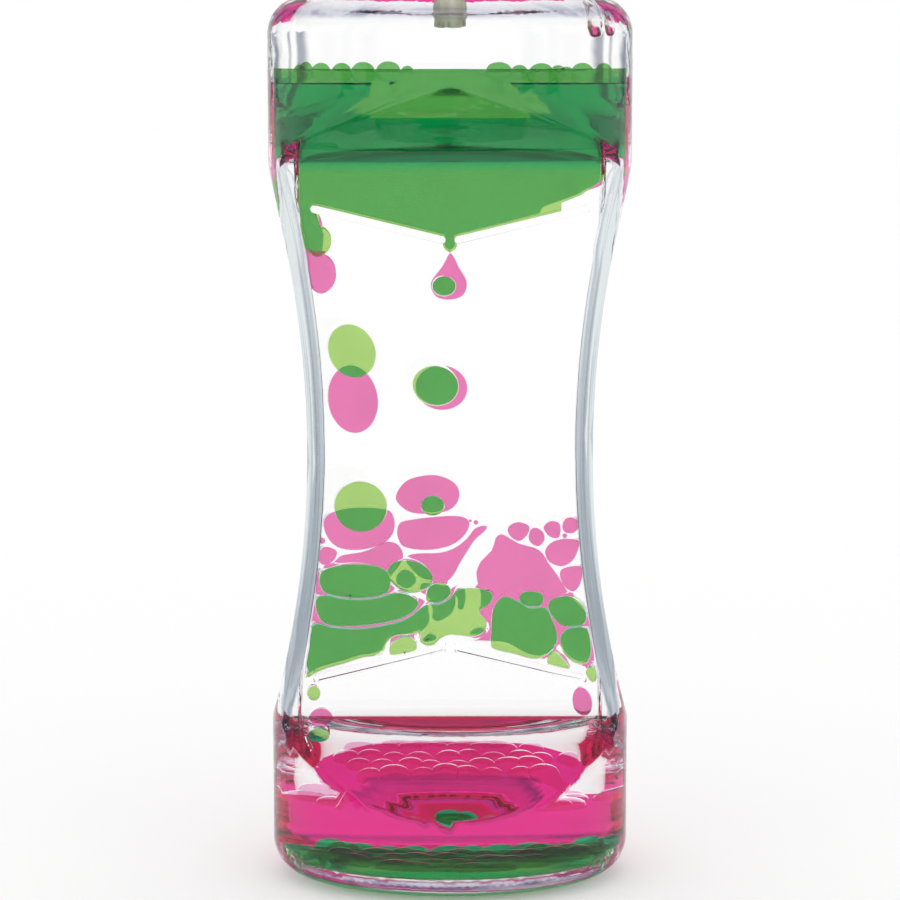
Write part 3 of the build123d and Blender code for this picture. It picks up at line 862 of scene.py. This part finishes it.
def cut_pool(name, node, top, material):
    """The CAD pool up to a lower level, for a pool with drops on it."""
    bm = bmesh.new()
    bm.from_mesh(nodes[node].data)
    bmesh.ops.scale(bm, vec=(1 / MM, 1 / MM, 1 / MM), verts=bm.verts)
    bmesh.ops.remove_doubles(bm, verts=bm.verts, dist=WELD / MM)
    made = bmesh.ops.bisect_plane(
        bm,
        geom=bm.verts[:] + bm.edges[:] + bm.faces[:],
        plane_co=(0, 0, top),
        plane_no=(0, 0, 1),
        clear_outer=True,
    )
    rim = [e for e in made["geom_cut"] if isinstance(e, bmesh.types.BMEdge)]
    bmesh.ops.edgenet_fill(bm, edges=rim)
    piece(name, bm, [material], node, POOL_ANGLE)


def balls(name, node, places, material):
    """Rounded drops half sunk in a pool's edge."""
    bm = bmesh.new()
    for x, y, z, wide, high in places:
        made = bmesh.ops.create_uvsphere(
            bm,
            u_segments=BALL_SEGMENTS,
            v_segments=BALL_RINGS,
            radius=1,
        )["verts"]
        bmesh.ops.scale(bm, vec=(wide, BALL_DEPTH * wide, high), verts=made)
        bmesh.ops.translate(bm, vec=(x, y, z), verts=made)
    piece(name, bm, [material], node, replaces=False)


def world():
    """White to the camera. Light bent by the plastic sees a studio with soft grey strips all round."""
    data = bpy.data.worlds.new("studio")
    bpy.context.scene.world = data
    data.use_nodes = True
    tree = data.node_tree
    tree.nodes.clear()
    place = tree.nodes.new("ShaderNodeTexCoord")
    split = tree.nodes.new("ShaderNodeSeparateXYZ")
    tree.links.new(place.outputs["Generated"], split.inputs[0])
    turn = math_node(tree, "ARCTAN2", split.outputs["X"], split.outputs["Y"])
    quarter = math_node(tree, "COSINE", math_node(tree, "MULTIPLY", turn, 4))
    strip = ramp(tree, quarter, *STRIP_EDGE)
    clear_corner = ramp(tree, quarter, *CORNER_EDGE)
    strip = math_node(tree, "SUBTRACT", strip, clear_corner)
    color = mix_color(tree, (1, 1, 1), STRIP_GREY, strip)
    overhead = tree.nodes.new("ShaderNodeMapRange")
    low, high = CEILING_RISE
    overhead.inputs["From Min"].default_value = low
    overhead.inputs["From Max"].default_value = high
    tree.links.new(split.outputs["Z"], overhead.inputs["Value"])
    color = mix_color(tree, color, CEILING_GREY, overhead.outputs[0])
    path = tree.nodes.new("ShaderNodeLightPath")
    transmitted = path.outputs["Is Transmission Ray"]
    reflected = path.outputs["Is Glossy Ray"]
    color = mix_color(tree, (1, 1, 1), color, math_node(tree, "MAXIMUM", transmitted, reflected))
    background = tree.nodes.new("ShaderNodeBackground")
    background.inputs["Strength"].default_value = 1
    tree.links.new(color, background.inputs["Color"])
    out = tree.nodes.new("ShaderNodeOutputWorld")
    tree.links.new(background.outputs[0], out.inputs["Surface"])


def floor():
    mesh = bpy.data.meshes.new("floor")
    corners = [(x * FLOOR_HALF, y * FLOOR_HALF, 0) for x, y in ((-1, -1), (1, -1), (1, 1), (-1, 1))]
    mesh.from_pydata(corners, [], [(0, 1, 2, 3)])
    obj = bpy.data.objects.new("floor", mesh)
    bpy.context.scene.collection.objects.link(obj)
    material, tree = node_tree("floor")
    shader = tree.nodes.new("ShaderNodeBsdfDiffuse")
    shader.inputs["Color"].default_value = (1, 1, 1, 1)
    output(tree, shader)
    mesh.materials.append(material)


camera()
world()
floor()
bpy.context.scene.view_settings.view_transform = "Standard"
rays = bpy.context.scene.cycles
rays.max_bounces = BOUNCES
rays.transmission_bounces = BOUNCES
rays.glossy_bounces = GLOSSY_BOUNCES
rays.transparent_max_bounces = BOUNCES

# The outer faces carry the painted wall shade
outside = rounded_glass_painted_shade("clear_plastic_outside_painted_shade", PLASTIC_IOR)
wall = glass("clear_plastic_wall", WALL_IOR)
seam = contact("clear_contact")
for shell, other in (SHELLS, SHELLS[::-1]):
    dress_shell(shell, other, [outside, wall, seam])
    finish_node(shell, HARD_ANGLE)
for name in (*OILS, "divider_plate"):
    dress(name, seam)
    finish_node(name, HARD_ANGLE)
for name in nodes:
    if name.endswith("_ramps"):
        dress(name, wall)
        finish_node(name, HARD_ANGLE)
dress("trapped_air_bubbles", glass("air", AIR_IOR))
finish_node("trapped_air_bubbles", BUBBLE_ANGLE)
rubber = stopper("beige_rubber")
for cell in ("front", "rear"):
    dress(f"{cell}_fill_plug", rubber)
    finish_node(f"{cell}_fill_plug", POOL_ANGLE)

lime = green("green_thin", LIME)
green_pool = green("green_pool", LIME, DEEP_GREEN, pale_highlight_edges=False)
deep_green = green("green_deep", DEEP_GREEN, edge_from=NO_EDGE)
rose = pink("pink_thin", ROSE, ROSE_THROUGH_GREEN)
pink_pool = pink("pink_pool", ROSE, ROSE_THROUGH_GREEN, MAGENTA, MAGENTA_THROUGH_GREEN, edge_from=NO_EDGE)
magenta = pink("pink_deep", MAGENTA, MAGENTA_THROUGH_GREEN, edge_from=NO_EDGE)
magenta_top = pink("pink_deep_top", MAGENTA, MAGENTA_THROUGH_GREEN, edge_from=NO_EDGE, ior=1)
green_domes = green("green_domes", DOME_GREEN, edge_from=GREEN_DOME_EDGE)
pink_domes = pink("pink_domes", DOME_PINK, DOME_PINK, edge_from=PINK_DOME_EDGE)
green_balls = green("green_balls", CLEAR_GREEN, BALL_GREEN, heights=BALL_HEIGHTS, edge_from=BALL_EDGE)

for name, material in (
    ("green_upper_pool", green_pool),
    ("pink_upper_pool", pink_pool),
    ("green_lower_pool", deep_green),
    ("pink_lower_pool", magenta),
):
    dress(name, material)
    finish_node(name, POOL_ANGLE)
# Under the pink domes the pool's top lets light straight through
pink_lower_mesh = nodes["pink_lower_pool"].data
pink_lower_mesh.materials.append(magenta_top)
for face in pink_lower_mesh.polygons:
    if face.normal.z > LEVEL_FACE:
        face.material_index = 1

for drop, (lean, egg) in DROP_SHAPES.items():
    falling_drop(drop, lean, egg, lime if drop.startswith("green") else rose)
pancake(f"{TEAR}_liquid", smooth_loop(TEAR_POINTS), drop_depths(TEAR), rose, TEAR)

heap("green_roof_heap", "front_lower_ramps", "green", GREEN_HEAP, lime)
heap("pink_roof_heap", "rear_lower_ramps", "pink", PINK_HEAP, rose)
low, high = box_mm("rear_lower_ramps")
dot_depths = (low.y + DOT_FILM, high.y - DOT_FILM)
for number, (x, z, radius) in enumerate(PINK_DOTS, 1):
    outline = oval(x, z, radius, radius)
    pancake(f"pink_heap_dot_{number}", outline, dot_depths, rose, "pink_roof_heap", DOT_RIM * radius)

random.seed(SEED)
_, pink_level = box_mm("pink_lower_pool")
foam(
    "pink_lower_pool_domes",
    "pink_lower_pool",
    1,
    pink_level.z,
    [pink_domes, seam],
    ["pink_roof_drop", "pink_sinking_drop"],
)
foam(
    "green_lower_pool_domes",
    "green_lower_pool",
    -1,
    GREEN_LEVEL,
    [green_domes, seam],
    ["green_sinking_drop"],
    GREEN_MIDDLE,
)
cut_pool("green_lower_pool_body", "green_lower_pool", GREEN_LEVEL, deep_green)
balls("green_upper_pool_drops", "green_upper_pool", BALLS, green_balls)
